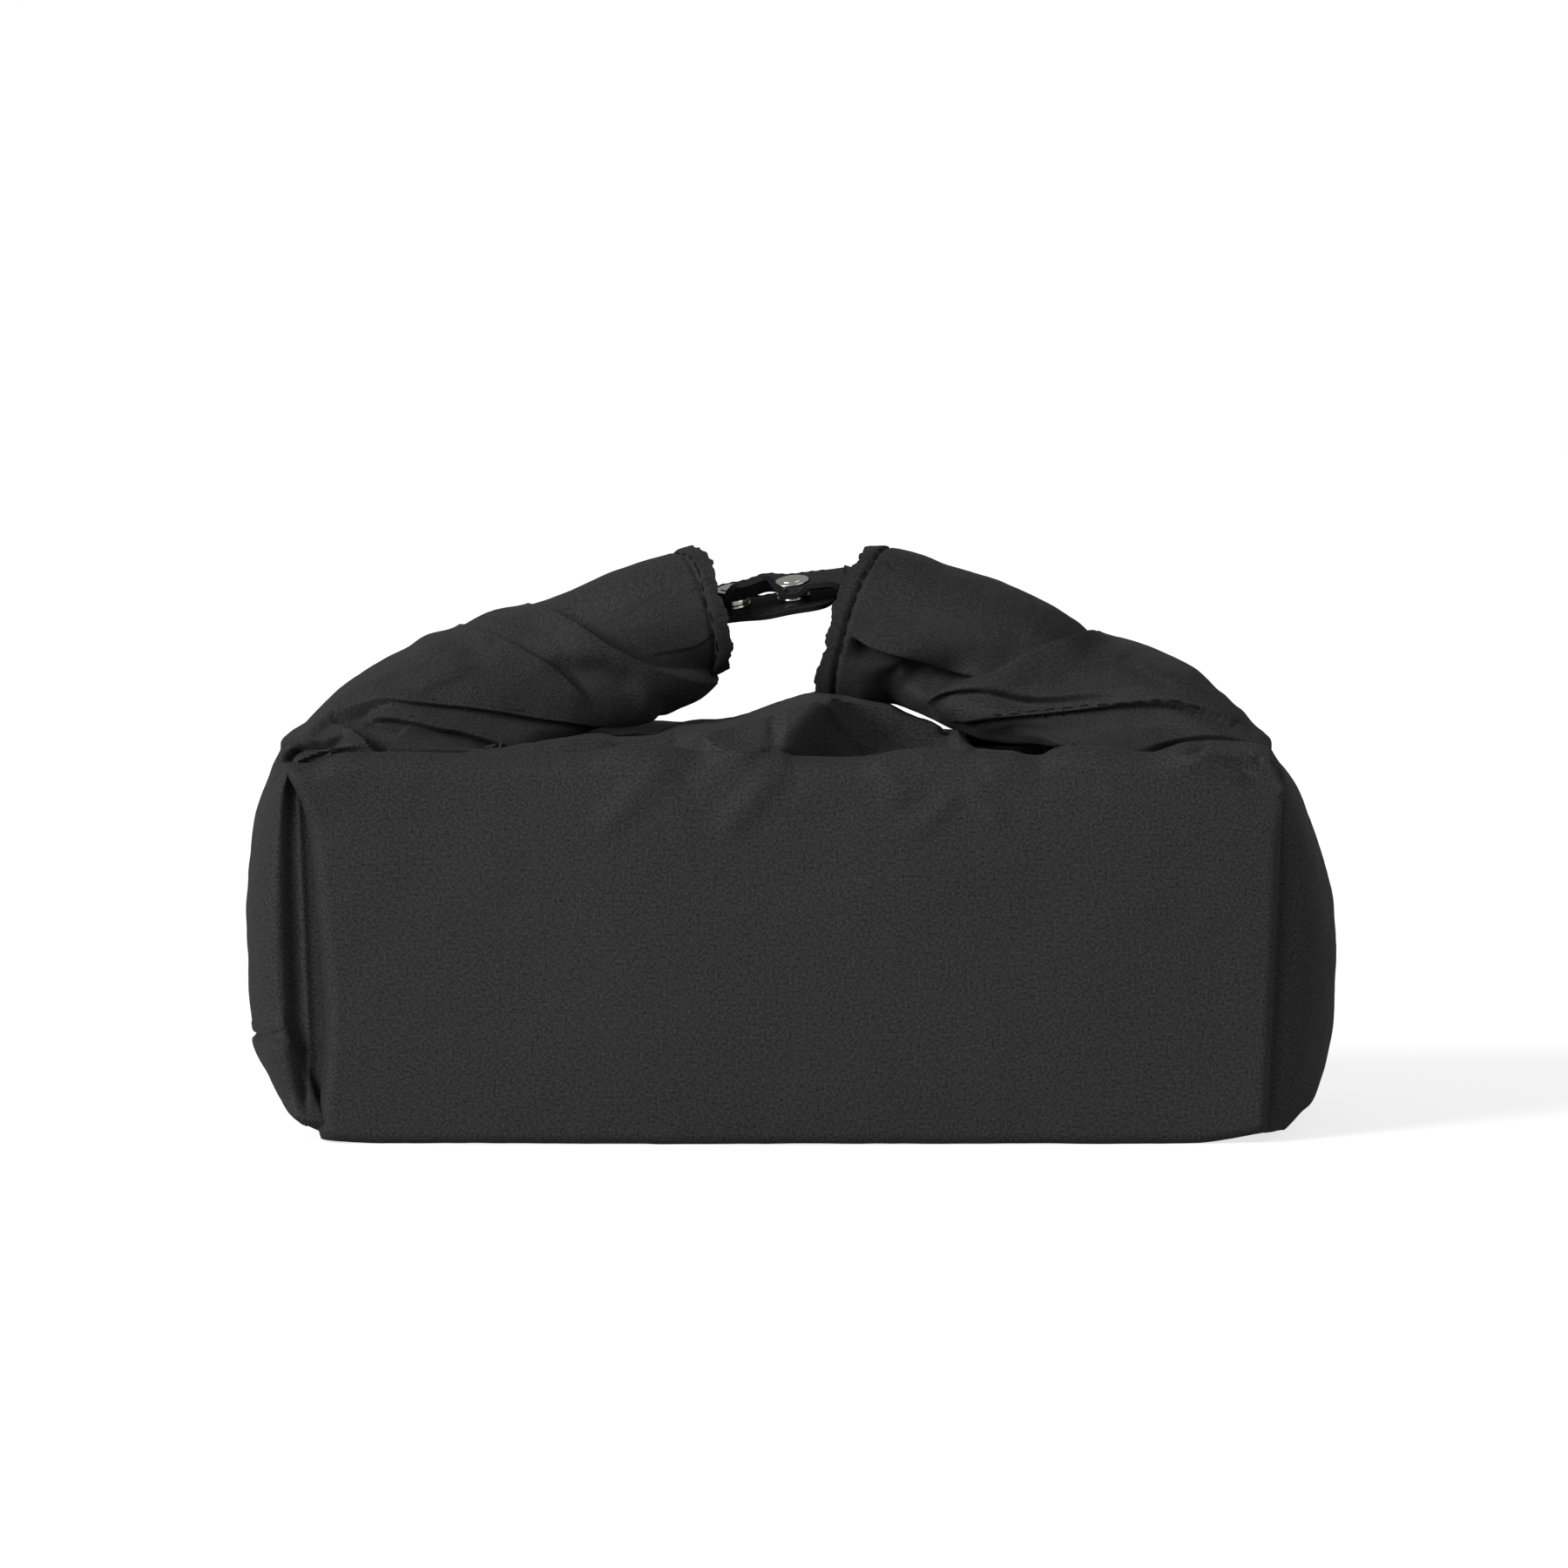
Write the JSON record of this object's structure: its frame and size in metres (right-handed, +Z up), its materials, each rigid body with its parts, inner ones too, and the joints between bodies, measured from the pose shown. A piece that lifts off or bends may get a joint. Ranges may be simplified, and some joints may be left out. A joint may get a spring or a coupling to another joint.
{
  "type": "lunch bag",
  "caption": "Soft insulated lunch bag with a boxy body, two mouth flaps and two twisted tube handles that meet at snapped straps.",
  "frame": {"origin": "on the floor, under the middle of the bag's outer box", "axes": "+X to the right seen from the front, along the bag; +Y to the back; +Z up"},
  "size_m": [0.294, 0.13, 0.1545],
  "materials": {
    "nylon": "matt charcoal woven nylon with a faint sheen",
    "strap": "black strap of folded nylon, smoother than the body",
    "lining": "black lining cloth",
    "film": "soft silver insulating film",
    "foam": "closed cell foam sheet",
    "board": "thin plastic stiffener",
    "metal": "nickel plated snap parts"
  },
  "bodies": {
    "bag": {"front_panel": "nylon", "back_panel": "nylon", "right_gusset": "nylon", "left_gusset": "nylon", "base_panel": "nylon", "front_foam": "foam", "back_foam": "foam", "right_foam": "foam", "left_foam": "foam", "base_foam": "foam", "base_board": "board", "liner": "film"},
    "right_handle": {"right_handle": "nylon", "right_handle_lining": "lining", "upper_strap_anchor": "strap"},
    "left_handle": {"left_handle": "nylon", "left_handle_lining": "lining", "lower_strap_anchor": "strap"},
    "upper_strap": {"upper_strap": "strap", "right_snap_cap": "metal", "left_snap_cap": "metal", "right_snap_socket": "metal", "left_snap_socket": "metal"},
    "lower_strap": {"lower_strap": "strap", "right_snap_stud": "metal", "left_snap_stud": "metal", "right_snap_rivet": "metal", "left_snap_rivet": "metal"},
    "front_flap": {"front_flap": "nylon", "front_flap_lining": "lining"},
    "back_flap": {"back_flap": "nylon", "back_flap_lining": "lining"}
  },
  "joints": [
    {"name": "right_handle_swing", "type": "hinge", "parent": "bag", "child": "right_handle", "pos_m": [0.129, 0, 0.103], "axis": [0, 1, 0], "range_deg": [0, 105]},
    {"name": "left_handle_swing", "type": "hinge", "parent": "bag", "child": "left_handle", "pos_m": [-0.129, 0, 0.103], "axis": [0, -1, 0], "range_deg": [0, 42]},
    {"name": "front_flap_open", "type": "hinge", "parent": "bag", "child": "front_flap", "pos_m": [0, -0.0537, 0.103], "axis": [1, 0, 0], "range_deg": [0, 68.25]},
    {"name": "back_flap_open", "type": "hinge", "parent": "bag", "child": "back_flap", "pos_m": [0, 0.0537, 0.103], "axis": [-1, 0, 0], "range_deg": [0, 68.25]},
    {"name": "upper_strap_peel", "type": "hinge", "parent": "right_handle", "child": "upper_strap", "pos_m": [0.01478, -0.00103, 0.147], "axis": [-0.0337, 0.9703, 0.2396], "range_deg": [0, 95]},
    {"name": "lower_strap_droop", "type": "hinge", "parent": "left_handle", "child": "lower_strap", "pos_m": [-0.0206, 0.00034, 0.13649], "axis": [-0.0337, 0.9703, 0.2396], "range_deg": [0, 25]}
  ],
  "couplings": [
    {"joint": "left_handle_swing", "follows": "right_handle_swing", "ratio": 0.4},
    {"joint": "front_flap_open", "follows": "right_handle_swing", "ratio": 0.65},
    {"joint": "back_flap_open", "follows": "right_handle_swing", "ratio": 0.65}
  ]
}
